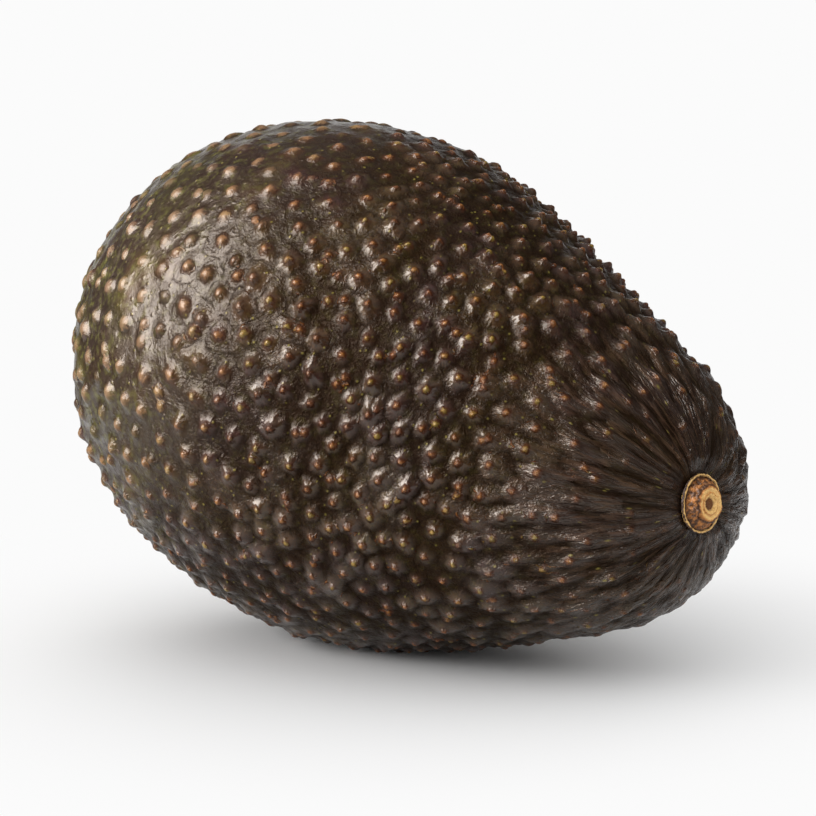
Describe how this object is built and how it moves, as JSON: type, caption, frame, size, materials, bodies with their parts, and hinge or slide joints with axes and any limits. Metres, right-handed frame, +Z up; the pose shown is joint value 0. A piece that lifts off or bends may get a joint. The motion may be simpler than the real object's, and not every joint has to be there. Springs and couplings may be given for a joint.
{
  "type": "avocado",
  "caption": "Whole ripe avocado lying on its side: pear-shaped fruit with dark pebbly skin and the corky button of its stalk at the neck.",
  "frame": {"origin": "centre of the small flat spot under the belly, on the surface that the fruit lies on", "axes": "+X level, from the blossom end towards the stem end; +Z up from the resting surface; +Y completes the right-handed frame"},
  "size_m": [0.1051, 0.0716, 0.0728],
  "materials": {
    "skin": "waxy semi-gloss over small hard pebbles, near black with olive and plum tones",
    "cork": "dry matt cork, golden tan, with a pale ring round a darker pith"
  },
  "bodies": {
    "root": {"fruit": "skin", "stalk_button": "cork"}
  },
  "joints": []
}
